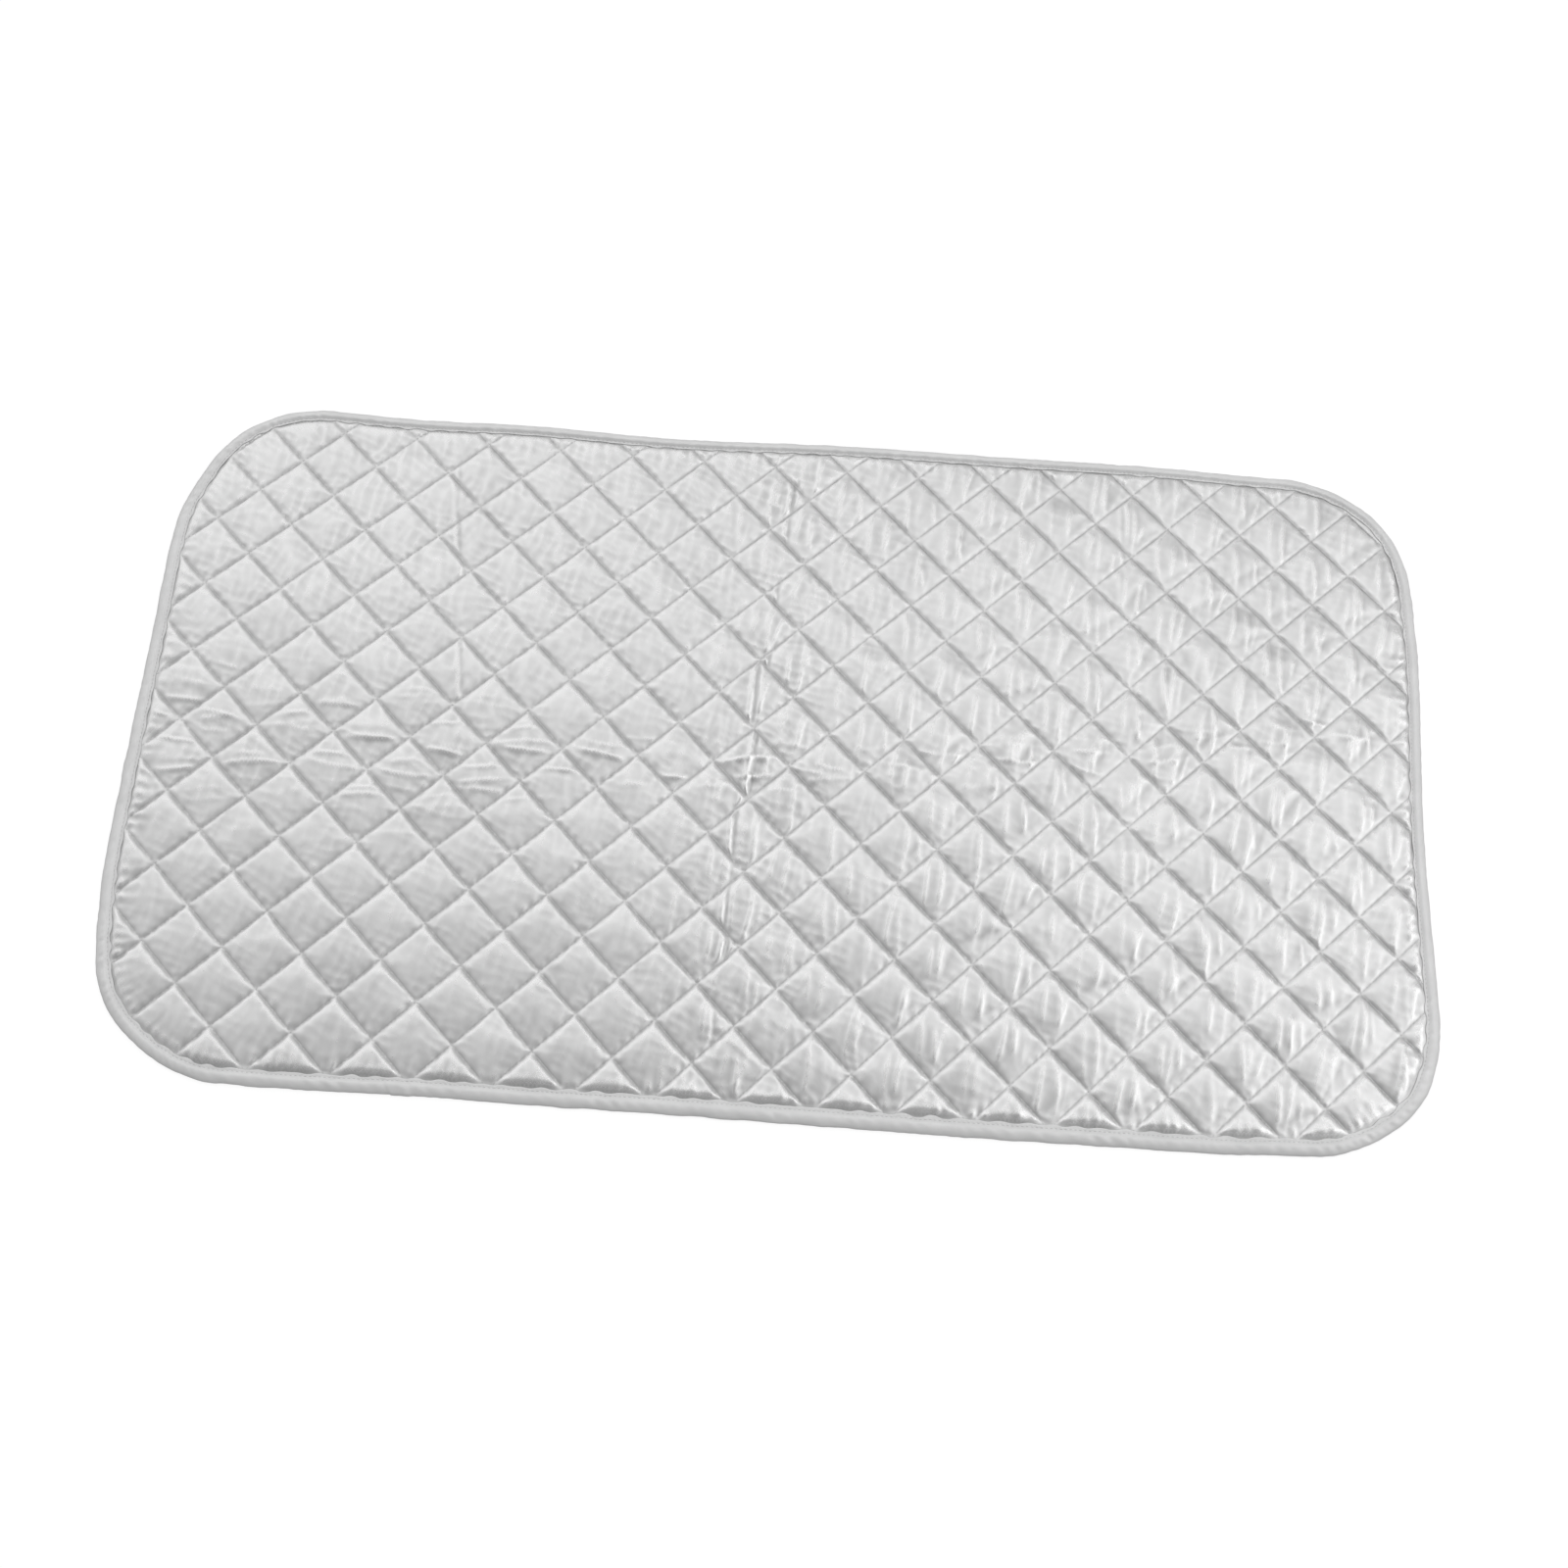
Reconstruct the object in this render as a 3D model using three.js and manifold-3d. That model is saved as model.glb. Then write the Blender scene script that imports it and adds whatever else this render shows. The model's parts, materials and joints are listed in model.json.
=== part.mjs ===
// Ironing pad for the top of a washing machine or a table. Two aluminised
// cloths are quilted together over wadding, the edge is bound with folded tape,
// and a magnet in each corner holds the pad to a steel top. Millimetres, +Z up.
// The pad lies face up on the XY plane, with its length along X.
import * as THREE from "three";
import { mergeVertices } from "three/addons/utils/BufferGeometryUtils.js";
import Module from "manifold-3d";

const wasm = await Module();
wasm.setup();

// The pad's outline
const padLength = 850;
const padWidth = 480;
const cornerRadius = 96;
const cornerSteps = 6;

// The quilting: straight seams at 45 degrees to the sides, cut from a wider
// roll, so that their grid isn't centred on the pad
const seamSpacing = 35;
const gridShiftX = 6;
const gridShiftY = -3;
const faceCrown = 4;
const cellShare = 0.7;
const innerCellShare = 0.99;

// Layers, at the seams
const clothThickness = 0.4;
const seamWadding = 0.8;
const pieceGap = 0.3;
const restClearance = 0.3;
const innerMargin = 20;
const weldDistance = 0.001;

// The binding tape, folded double round the edge
const tapeThickness = 1;
const tapeReach = 9;
const foldThickness = 2.2;
const foldSteps = 6;
const tapePlump = 0.5;
const stitchInset = 7.4;
const stitchGroove = 0.9;
const stitchDepth = 0.4;

// Corner magnets
const magnetDiameter = 18;
const magnetThickness = 2;
const magnetSides = 16;
const magnetMargin = 1;

// Heights from the table up
const backOuter = tapeThickness + pieceGap;
const backInner = backOuter + clothThickness;
const waddingBottom = backInner + pieceGap;
const waddingTop = waddingBottom + seamWadding;
const faceInner = waddingTop + pieceGap;
const faceOuter = faceInner + clothThickness;
const bindingTop = faceOuter + pieceGap + tapeThickness;

const backRelief = backOuter - restClearance;
const magnetSeat = clothThickness + pieceGap;
const layersInset = foldThickness + pieceGap;
const puffInset = tapeReach + pieceGap;
const innerInset = puffInset + innerMargin;

// The rounded rectangle that lies a distance inside the pad's edge, with its
// points counter-clockwise
function outline(inset) {
  const points = [];
  const radius = cornerRadius - inset;
  const x = padLength / 2 - cornerRadius;
  const y = padWidth / 2 - cornerRadius;
  const centres = [[x, -y], [x, y], [-x, y], [-x, -y]];
  centres.forEach(([cx, cy], corner) => {
    for (let step = 0; step <= cornerSteps; step += 1) {
      const angle = (corner - 1 + step / cornerSteps) * (Math.PI / 2);
      points.push([cx + radius * Math.cos(angle), cy + radius * Math.sin(angle)]);
    }
  });
  return points;
}

function area(polygon) {
  return polygon.reduce((sum, [x, y], i) => {
    const [nextX, nextY] = polygon[(i + 1) % polygon.length];
    return sum + (x * nextY - nextX * y) / 2;
  }, 0);
}

// The part of a convex polygon that lies inside another convex one
function clip(polygon, window) {
  let kept = polygon;
  window.forEach(([ax, ay], i) => {
    const [bx, by] = window[(i + 1) % window.length];
    const side = ([x, y]) => (bx - ax) * (y - ay) - (by - ay) * (x - ax);
    const next = [];
    kept.forEach((point, k) => {
      const following = kept[(k + 1) % kept.length];
      const here = side(point);
      const there = side(following);
      if (here >= 0) next.push(point);
      if (here * there < 0) {
        const t = here / (here - there);
        next.push(point.map((value, axis) => value + t * (following[axis] - value)));
      }
    });
    kept = next;
  });
  return kept;
}

// Where seam i of one direction crosses seam j of the other
function crossing(i, j) {
  const step = seamSpacing / Math.SQRT2;
  return [gridShiftX + (i - j) * step, gridShiftY + (i + j) * step];
}

function middle(polygon) {
  const sum = polygon.reduce(([x, y], [px, py]) => [x + px, y + py], [0, 0]);
  return sum.map((value) => value / polygon.length);
}

// The least distance from a point inside a convex polygon to its sides
function roomAround([x, y], polygon) {
  return Math.min(...polygon.map(([ax, ay], i) => {
    const [bx, by] = polygon[(i + 1) % polygon.length];
    return ((bx - ax) * (y - ay) - (by - ay) * (x - ax)) / Math.hypot(bx - ax, by - ay);
  }));
}

// Every quilted cell that puffs, cut off where the binding covers it
function quiltCells() {
  const window = outline(puffInset);
  const innerWindow = outline(innerInset);
  const reach = Math.ceil((padLength + padWidth) / seamSpacing / 2);
  const found = [];
  for (let i = -reach; i < reach; i += 1) {
    for (let j = -reach; j < reach; j += 1) {
      const corners = [crossing(i, j), crossing(i + 1, j), crossing(i + 1, j + 1), crossing(i, j + 1)];
      const polygon = clip(corners, window);
      const inner = clip(corners, innerWindow);
      const share = area(polygon) / seamSpacing ** 2;
      const innerShare = area(inner) / seamSpacing ** 2;
      if (share > cellShare) found.push({ polygon, centre: middle(polygon), innerShare });
    }
  }
  return found;
}

// The cloths' inner sides and the wadding puff in the whole cells that lie
// well inside the binding, and the cloths fill the others
const cells = quiltCells();
const innerCells = cells.filter(({ innerShare }) => innerShare > innerCellShare);

// Each magnet lies in the inner cell nearest its corner
function cornerCell(sideX, sideY) {
  const corner = [(sideX * padLength) / 2, (sideY * padWidth) / 2];
  const distance = ({ centre }) => Math.hypot(centre[0] - corner[0], centre[1] - corner[1]);
  return innerCells.reduce((best, cell) => (distance(cell) < distance(best) ? cell : best));
}

const magnetCells = {
  front_left: cornerCell(-1, -1),
  front_right: cornerCell(1, -1),
  rear_left: cornerCell(-1, 1),
  rear_right: cornerCell(1, 1),
};
const magnetCellList = Object.values(magnetCells);

function solidFrom(triangles) {
  const positions = new Float32Array(triangles.flat(2));
  const geometry = new THREE.BufferGeometry();
  geometry.setAttribute("position", new THREE.BufferAttribute(positions, 3));
  const merged = mergeVertices(geometry);
  return new wasm.Manifold(
    new wasm.Mesh({
      numProp: 3,
      vertProperties: merged.attributes.position.array,
      triVerts: new Uint32Array(merged.index.array),
    }),
  );
}

function geometryOf(solid) {
  const { vertProperties, triVerts } = solid.getMesh();
  const geometry = new THREE.BufferGeometry();
  geometry.setAttribute("position", new THREE.BufferAttribute(vertProperties, 3));
  geometry.setIndex(new THREE.BufferAttribute(triVerts, 1));
  const flat = geometry.toNonIndexed();
  flat.computeVertexNormals();
  return flat;
}

const fan = (ring) => ring.slice(2).map((point, i) => [ring[0], ring[i + 1], point]);

function bridge(lower, upper) {
  return lower.flatMap((point, i) => {
    const k = (i + 1) % lower.length;
    return [[point, lower[k], upper[k]], [point, upper[k], upper[i]]];
  });
}

// A cell drawn from its seams to a crown over its middle, lower where the
// binding leaves less of it
function puff(cell, seam, crown) {
  const ring = cell.polygon.map(([x, y]) => [x, y, seam]);
  const fullness = (2 * roomAround(cell.centre, cell.polygon)) / seamSpacing;
  const top = [...cell.centre, seam + crown * fullness];
  return ring.map((point, i) => [point, ring[(i + 1) % ring.length], top]);
}

// A cell drawn from its seams to a flat patch that a magnet lies on
function magnetPatch(cell, seam, height) {
  const ring = cell.polygon.map(([x, y]) => [x, y, seam]);
  const shrink = (magnetDiameter / 2 + magnetMargin) / roomAround(cell.centre, cell.polygon);
  const patch = cell.polygon.map((point) => [
    ...point.map((value, axis) => cell.centre[axis] + shrink * (value - cell.centre[axis])),
    height,
  ]);
  return [...bridge(ring, patch), ...fan(patch)];
}

// The directed edges that only one triangle has, chained into a closed ring
function freeEdge(triangles) {
  const name = (point) => point.map((value) => Math.round(value / weldDistance)).join();
  const sides = new Map();
  triangles.forEach((triangle) => triangle.forEach((from, i) => {
    const to = triangle[(i + 1) % triangle.length];
    if (!sides.delete(`${name(to)} ${name(from)}`)) sides.set(`${name(from)} ${name(to)}`, { from, to });
  }));
  const next = new Map([...sides.values()].map(({ from, to }) => [name(from), to]));
  const ring = [[...sides.values()][0].from];
  while (ring.length < sides.size) ring.push(next.get(name(ring[ring.length - 1])));
  return ring;
}

// Flat triangles that fill the notches of a ring, and the hull that is left
function fillNotches(ring) {
  const triangles = [];
  const hull = [...ring];
  const turn = ([ax, ay], [bx, by], [cx, cy]) => (bx - ax) * (cy - by) - (by - ay) * (cx - bx);
  const isNotch = (i) => {
    const before = hull[(i + hull.length - 1) % hull.length];
    return turn(before, hull[i], hull[(i + 1) % hull.length]) < -weldDistance;
  };
  let notch = hull.findIndex((_, i) => isNotch(i));
  while (notch >= 0) {
    const before = hull[(notch + hull.length - 1) % hull.length];
    triangles.push([before, hull[(notch + 1) % hull.length], hull[notch]]);
    hull.splice(notch, 1);
    notch = hull.findIndex((_, i) => isNotch(i));
  }
  return { triangles, hull };
}

// The flat ring between two rings that both run round the middle, with their
// points paired off by angle
function flatRing(inner, outer) {
  const byAngle = (ring) => ring
    .map((point) => ({ point, angle: Math.atan2(point[1], point[0]) }))
    .sort((a, b) => a.angle - b.angle);
  const a = byAngle(inner);
  const b = byAngle(outer);
  const turned = (ring, i) => ring[i % ring.length].angle + 2 * Math.PI * Math.floor(i / ring.length);
  const at = (ring, i) => ring[i % ring.length].point;
  const triangles = [];
  let i = 0;
  let k = 0;
  while (i < a.length || k < b.length) {
    if (k >= b.length || (i < a.length && turned(a, i + 1) < turned(b, k + 1))) {
      triangles.push([at(a, i), at(b, k), at(a, i + 1)]);
      i += 1;
    } else {
      triangles.push([at(a, i), at(b, k), at(b, k + 1)]);
      k += 1;
    }
  }
  return triangles;
}

const layerEdge = outline(layersInset);

// One quilted surface: its cells, and the flat margin out to the layer's edge
function quilted(cellTriangles, seam) {
  const { triangles, hull } = fillNotches(freeEdge(cellTriangles));
  const edge = layerEdge.map(([x, y]) => [x, y, seam]);
  return [...cellTriangles, ...triangles, ...flatRing(hull, edge)];
}

// A layer lies between a surface and one below it, with a wall round its edge
function layer(upper, upperSeam, lower, lowerSeam) {
  const ring = (z) => layerEdge.map(([x, y]) => [x, y, z]);
  const under = quilted(lower, lowerSeam).map((triangle) => [...triangle].reverse());
  return solidFrom([...quilted(upper, upperSeam), ...under, ...bridge(ring(lowerSeam), ring(upperSeam))]);
}

const risen = (chosen, seam) => chosen.flatMap((cell) => puff(cell, seam, faceCrown));
const hanging = (chosen, seam, patch) => chosen.flatMap((cell) => (
  magnetCellList.includes(cell) ? magnetPatch(cell, seam, patch) : puff(cell, seam, -backRelief)
));

// The face cloth: drawn down along the seams and puffed between them
const faceCover = layer(risen(cells, faceOuter), faceOuter, risen(innerCells, faceInner), faceInner);

// The back cloth: a shallower quilting, with a flat patch under each magnet
const backCover = layer(
  hanging(innerCells, backInner, clothThickness),
  backInner,
  hanging(cells, backOuter, 0),
  backOuter,
);

function disc(radius, height, [x, y], bottom) {
  const geometry = new THREE.CylinderGeometry(radius, radius, height, magnetSides);
  geometry.rotateX(Math.PI / 2);
  geometry.translate(x, y, bottom + height / 2);
  return geometry;
}

function solidOf(geometry) {
  const { array } = geometry.toNonIndexed().attributes.position;
  const point = (i) => [...array.slice(3 * i, 3 * i + 3)];
  const count = array.length / 9;
  return solidFrom(Array.from({ length: count }, (_, i) => [point(3 * i), point(3 * i + 1), point(3 * i + 2)]));
}

// The wadding fills the cells and has a round pocket below for each magnet
function wadding() {
  const filling = layer(
    risen(innerCells, waddingTop),
    waddingTop,
    hanging(innerCells, waddingBottom, magnetSeat),
    waddingBottom,
  );
  const pocket = { radius: magnetDiameter / 2 + pieceGap, top: magnetSeat + magnetThickness + pieceGap };
  return magnetCellList
    .map(({ centre }) => solidOf(disc(pocket.radius, pocket.top, centre, 0)))
    .reduce((body, cutter) => body.subtract(cutter), filling);
}

// The binding's section, as points of distance in from the pad's edge and
// height: a flat foot, a rounded fold outside, a plump top with its stitched
// groove and a slot that takes the layers
function bindingSection() {
  const points = [[tapeReach, 0], [foldThickness, 0]];
  for (let step = 1; step < foldSteps; step += 1) {
    const angle = (step / foldSteps) * Math.PI;
    points.push([foldThickness * (1 - Math.sin(angle)), (bindingTop * (1 - Math.cos(angle))) / 2]);
  }
  points.push(
    [foldThickness, bindingTop],
    [(foldThickness + stitchInset) / 2, bindingTop + tapePlump],
    [stitchInset - stitchGroove / 2, bindingTop],
    [stitchInset, bindingTop - stitchDepth],
    [stitchInset + stitchGroove / 2, bindingTop],
    [tapeReach, bindingTop - stitchDepth],
    [tapeReach, bindingTop - tapeThickness],
    [foldThickness, bindingTop - tapeThickness],
    [foldThickness, tapeThickness],
    [tapeReach, tapeThickness],
  );
  return points;
}

// The section is carried round the outline, and each of its points stays at
// its own distance inside the edge
function edgeBinding() {
  const lines = bindingSection().map(([inset, z]) => outline(inset).map(([x, y]) => [x, y, z]));
  return solidFrom(lines.flatMap((line, i) => bridge(line, lines[(i + 1) % lines.length])));
}

const finishes = {
  aluminisedCloth: { color: 0xc9c9c9, roughness: 0.42, metalness: 0.35 },
  backCloth: { color: 0xb9babb, roughness: 0.5, metalness: 0.3 },
  wadding: { color: 0xf2f0ea, roughness: 1, metalness: 0 },
  tape: { color: 0xd4d4d3, roughness: 0.7, metalness: 0 },
  ferrite: { color: 0x35363a, roughness: 0.6, metalness: 0.2 },
};

const group = new THREE.Group();

function add(name, geometry, finish) {
  const mesh = new THREE.Mesh(geometry, new THREE.MeshStandardMaterial(finish));
  mesh.name = name;
  group.add(mesh);
}

add("face_cover", geometryOf(faceCover), finishes.aluminisedCloth);
add("wadding", geometryOf(wadding()), finishes.wadding);
add("back_cover", geometryOf(backCover), finishes.backCloth);
add("edge_binding", geometryOf(edgeBinding()), finishes.tape);
Object.entries(magnetCells).forEach(([corner, { centre }]) => {
  add(`magnet_${corner}`, disc(magnetDiameter / 2, magnetThickness, centre, magnetSeat), finishes.ferrite);
});

export default group;
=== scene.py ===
# %% [markdown]
# # A quilted ironing pad
# The pad is a sandwich: a silver face cloth, a thin wadding and a silver back
# cloth, sewn together along two sets of slanting seams and bound with a folded
# tape. The CAD model has all of these as plain solids. Here each one gets the
# form and the finish of the real thing, in the same place.

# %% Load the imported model
import json
import math

import bpy
import numpy as np
from mathutils import Matrix, Vector
from mathutils.geometry import delaunay_2d_cdt

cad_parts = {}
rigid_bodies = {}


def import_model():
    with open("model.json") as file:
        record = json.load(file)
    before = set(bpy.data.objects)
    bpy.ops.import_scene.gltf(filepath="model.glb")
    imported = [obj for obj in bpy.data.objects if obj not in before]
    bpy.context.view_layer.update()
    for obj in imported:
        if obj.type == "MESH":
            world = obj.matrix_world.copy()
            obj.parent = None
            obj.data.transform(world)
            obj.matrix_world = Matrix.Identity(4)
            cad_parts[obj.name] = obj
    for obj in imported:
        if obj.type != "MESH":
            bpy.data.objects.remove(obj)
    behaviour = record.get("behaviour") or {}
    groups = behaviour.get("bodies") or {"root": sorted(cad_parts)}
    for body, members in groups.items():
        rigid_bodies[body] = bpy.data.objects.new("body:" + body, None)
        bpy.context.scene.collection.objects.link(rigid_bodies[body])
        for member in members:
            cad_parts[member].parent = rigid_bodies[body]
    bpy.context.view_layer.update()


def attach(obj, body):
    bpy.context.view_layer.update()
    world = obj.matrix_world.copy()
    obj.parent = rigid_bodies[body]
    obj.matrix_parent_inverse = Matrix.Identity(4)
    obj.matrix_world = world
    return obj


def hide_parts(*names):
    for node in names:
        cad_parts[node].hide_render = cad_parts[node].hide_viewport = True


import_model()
MM = 0.001

# %% [markdown]
# ## The camera
# The photograph looks down on the pad from the near side, a little turned and
# rolled. Its lens and place were worked out from the outline and the seams, and
# the same numbers are given here, so that the render can be laid over it.

# %% Place the camera
PHOTO_SIDE_PX, PHOTO_FOCAL_PX, SENSOR_MM = 1600, 1973.1, 36
ELEVATION, AZIMUTH, ROLL = 68.46, 0.215, 3.796
aim, distance = Vector((3.19, -16.62, 0)) * MM, 1263.9 * MM


def towards(way, height):
    """The direction that way round and that high, in degrees."""
    a, e = math.radians(way), math.radians(height)
    return Vector((math.cos(a) * math.cos(e), math.sin(a) * math.cos(e), math.sin(e)))


def in_scene(name, data):
    """A new object with its data, put in the scene."""
    item = bpy.data.objects.new(name, data)
    bpy.context.scene.collection.objects.link(item)
    return item


back, roll = towards(AZIMUTH - 90, ELEVATION), math.radians(ROLL)
level = (-back).cross(Vector((0, 0, 1))).normalized()
over = level.cross(-back)
right = math.cos(roll) * level + math.sin(roll) * over
up = -math.sin(roll) * level + math.cos(roll) * over

camera = in_scene("camera", bpy.data.cameras.new("camera"))
camera.data.lens = SENSOR_MM * PHOTO_FOCAL_PX / PHOTO_SIDE_PX
camera.data.clip_end = 50
place = Matrix((right, up, back)).transposed().to_4x4()
place.translation = aim + back * distance
camera.matrix_world = place
bpy.context.scene.camera = camera
print("camera at", [round(v, 3) for v in place.translation])

# %% [markdown]
# ## The outline
# The pad was cut as a rounded rectangle, but the edge of a sewn pad creeps in and
# out by some millimetres, most at its corners. Almost every form below needs to
# know how far inside the edge a point lies, and how far round it, so those are the
# first helpers. They work on whole arrays of points, in millimetres.

# %% In from the edge and round it
PAD_LENGTH, PAD_WIDTH, CORNER_RADIUS = 850.0, 480.0, 96.0
CORE_X, CORE_Y = PAD_LENGTH / 2 - CORNER_RADIUS, PAD_WIDTH / 2 - CORNER_RADIUS
CORNER_RUN = math.pi / 2 * CORNER_RADIUS
QUARTER_ROUND = CORE_X + CORNER_RUN + CORE_Y

# Where the edge lies further out or in: distance round, distance out, reach
EDGE_CREEP = [
    (-25, -3.7, 90), (150, -2.2, 32), (212, 0.9, 25), (300, -2.4, 50),
    (490, -0.6, 60), (715, -4.2, 85), (890, -3.0, 60), (1068, -4.6, 36),
    (1190, -0.6, 50), (1405, -4.2, 34), (1480, -3.4, 45), (1665, -1.2, 50),
    (1800, -0.7, 80), (2010, 0.5, 60), (2200, -2.2, 28), (2292, 2.6, 28),
]


def bell(value):
    """1 at 0, falling off smoothly on both sides."""
    return np.exp(-(value**2))


def summed_bumps(run, bumps):
    """A smooth value round the edge, made of a few bumps."""
    value, whole = 0.0, 4 * QUARTER_ROUND
    for at, height, reach in bumps:
        away = (run - at + whole / 2) % whole - whole / 2
        value = value + height * bell(away / reach)
    return value


def distance_round(x, y):
    """How far round the nearest edge is, from the middle of the right side."""
    qx, qy = np.abs(x) - CORE_X, np.abs(y) - CORE_Y
    at_side = np.where(qx > qy, np.abs(y), QUARTER_ROUND - np.abs(x))
    turned = np.arctan2(np.maximum(qy, 0), np.maximum(qx, 1e-9))
    at_corner = CORE_Y + CORNER_RADIUS * turned
    run = np.where((qx > 0) & (qy > 0), at_corner, at_side)
    run = np.where(x < 0, 2 * QUARTER_ROUND - run, run)
    return np.where(y < 0, 4 * QUARTER_ROUND - run, run)


def distance_in(x, y):
    """How far inside the pad's edge each point lies."""
    qx, qy = np.abs(x) - CORE_X, np.abs(y) - CORE_Y
    beyond = np.hypot(np.maximum(qx, 0), np.maximum(qy, 0))
    inset = CORNER_RADIUS - beyond - np.minimum(np.maximum(qx, qy), 0)
    return inset + summed_bumps(distance_round(x, y), EDGE_CREEP)


print("the edge is %.0f mm round" % (4 * QUARTER_ROUND))

# %% From the edge back to a place, and in by tape widths
# Where the tape, all but its rounded fold, is wider: distance round, share, reach
TAPE_WIDTHS = [(1920, 0.3, 430), (0, -0.16, 150), (620, -0.1, 300)]
FOLD_AT = 2.7


def edge_at(run):
    """The point of the edge that far round, and its direction outwards."""
    quarter = np.floor(run / QUARTER_ROUND).astype(int) % 4
    part = run % QUARTER_ROUND
    part = np.where(quarter % 2 == 1, QUARTER_ROUND - part, part)
    angle = np.clip((part - CORE_Y) / CORNER_RADIUS, 0, math.pi / 2)
    x = np.clip(QUARTER_ROUND - part, 0, CORE_X) + CORNER_RADIUS * np.cos(angle)
    y = np.clip(part, 0, CORE_Y) + CORNER_RADIUS * np.sin(angle)
    side_x = np.where((quarter == 1) | (quarter == 2), -1, 1)
    side_y = np.where(quarter >= 2, -1, 1)
    out_x, out_y = np.cos(angle) * side_x, np.sin(angle) * side_y
    creep = summed_bumps(run, EDGE_CREEP)
    return x * side_x + creep * out_x, y * side_y + creep * out_y, out_x, out_y


def under_tape(inset, run):
    """Distances in, counted as if the tape were everywhere of one width."""
    stretch = 1 + summed_bumps(run, TAPE_WIDTHS)
    return np.where(inset > FOLD_AT, FOLD_AT + (inset - FOLD_AT) / stretch, inset)


def eased(value):
    """A smooth step from 0 to 1."""
    t = np.clip(value, 0, 1)
    return t * t * (3 - 2 * t)


print("370 mm round it is at", [round(float(v)) for v in edge_at(np.array(370.0))[:2]])

# %% [markdown]
# ## The quilting grid
# A quilting machine feeds the layers slantwise under rows of needles, first one
# way and then the other. The seams come out 35 mm apart and nearly straight, but
# the cloth creeps, so they fan and bow by a few millimetres. The two sets are
# written as one rule each. A point of the pad is then named by its place between
# the seams: (3.5, 2.5) is the middle of one cell, wherever the cloth has crept.

# %% Where the seams run
FALLING = dict(
    first=0.50, step=35.03, tilt=0.0073, fan=1.1e-5, bow=-2.4e-5, bow_growth=4.0e-8
)
RISING = dict(
    first=27.56, step=35.32, tilt=-0.0014, fan=6.6e-5, bow=-7.8e-5, bow_growth=1.43e-7
)


def seam_offset(seams, number, along):
    """How far from the pad's middle a seam runs, at a distance along it."""
    straight = seams["first"] + number * seams["step"]
    lean = seams["tilt"] + seams["fan"] * straight
    bend = seams["bow"] + seams["bow_growth"] * straight
    return straight + lean * along + bend * along**2 / 2


def quilt_point(falling, rising):
    """The place on the pad, in mm, of a point given by its two seam numbers."""
    q = seam_offset(RISING, rising, 0.0)
    for _ in range(6):
        p = seam_offset(FALLING, falling, q)
        q = seam_offset(RISING, rising, -p)
    return (p - q) * math.sqrt(0.5), (p + q) * math.sqrt(0.5)


FIRST_FALLING, FIRST_RISING, CELLS = -13, -14, 27
crossing = quilt_point(np.array(0.0), np.array(0.0))
print("two seams cross at", [round(float(v), 1) for v in crossing])

# %% [markdown]
# ## The quilted grid of points
# Each layer starts as a grid whose lines lie along the seams, so that a seam is a
# row of edges and stays crisp. A grid can crowd its lines towards the seams, where
# the cloth turns fastest.

# %% Points between the seams
class QuiltGrid:
    """The pad's points, so many to a cell, and crowded if even is less than 1."""

    def __init__(self, per_cell, even=1.0):
        self.per_cell = per_cell
        self.spacing = FALLING["step"] / per_cell
        self.count = CELLS * per_cell + 1
        whole, part = np.divmod(np.arange(self.count) / per_cell, 1)
        from_seam = 2 * np.minimum(part, 1 - part)
        from_seam = (even * from_seam + (1 - even) * from_seam**2) / 2
        self.steps = whole + np.where(part < 0.5, from_seam, 1 - from_seam)
        self.falling, self.rising = np.meshgrid(
            FIRST_FALLING + self.steps, FIRST_RISING + self.steps, indexing="ij"
        )
        self.x, self.y = quilt_point(self.falling, self.rising)
        self.inset = distance_in(self.x, self.y)
        self.run = distance_round(self.x, self.y)
        self.tucked = under_tape(self.inset, self.run)
        cells = np.minimum(np.arange(self.count) // per_cell, CELLS - 1)
        self.cell = np.ix_(cells, cells)
        half_way = np.arange(CELLS) + 0.5
        middle_x, middle_y = quilt_point(
            *np.meshgrid(FIRST_FALLING + half_way, FIRST_RISING + half_way, indexing="ij")
        )
        self.from_middle_x = self.x - middle_x[self.cell]
        self.from_middle_y = self.y - middle_y[self.cell]
        falling_away = self.falling - np.round(self.falling)
        rising_away = self.rising - np.round(self.rising)
        self.to_falling = np.abs(falling_away) * FALLING["step"]
        self.to_rising = np.abs(rising_away) * RISING["step"]
        self.to_seam = np.minimum(self.to_falling, self.to_rising)

    def by_cell(self, seed, low, high):
        """One random value for each cell, laid out on the grid."""
        return np.random.default_rng(seed).uniform(low, high, (CELLS, CELLS))[self.cell]

    def at_points(self, field):
        """An even field, read at the grid's own points."""
        at = np.minimum(self.steps * self.per_cell, self.count - 1 - 1e-6)
        low, part = np.divmod(at, 1)
        low, part = low.astype(int), part[:, None]
        field = field[low] * (1 - part) + field[low + 1] * part
        return field[:, low] * (1 - part.T) + field[:, low + 1] * part.T


FINE_STEPS, CROWDED = 28, 0.45
fine = QuiltGrid(FINE_STEPS, CROWDED)
closest = float(fine.steps[1]) * FALLING["step"]
print("%d points, from %.2f mm apart" % (fine.count**2, closest))

# %% [markdown]
# ## Random grain
# Wrinkles look random, but each kind has its own spacing and lie. Filtering white
# noise by wavelength gives just that: a field whose waves are, say, 11 mm apart
# and run up the pad. Each has a fixed seed, so every run gives the same pad.

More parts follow.
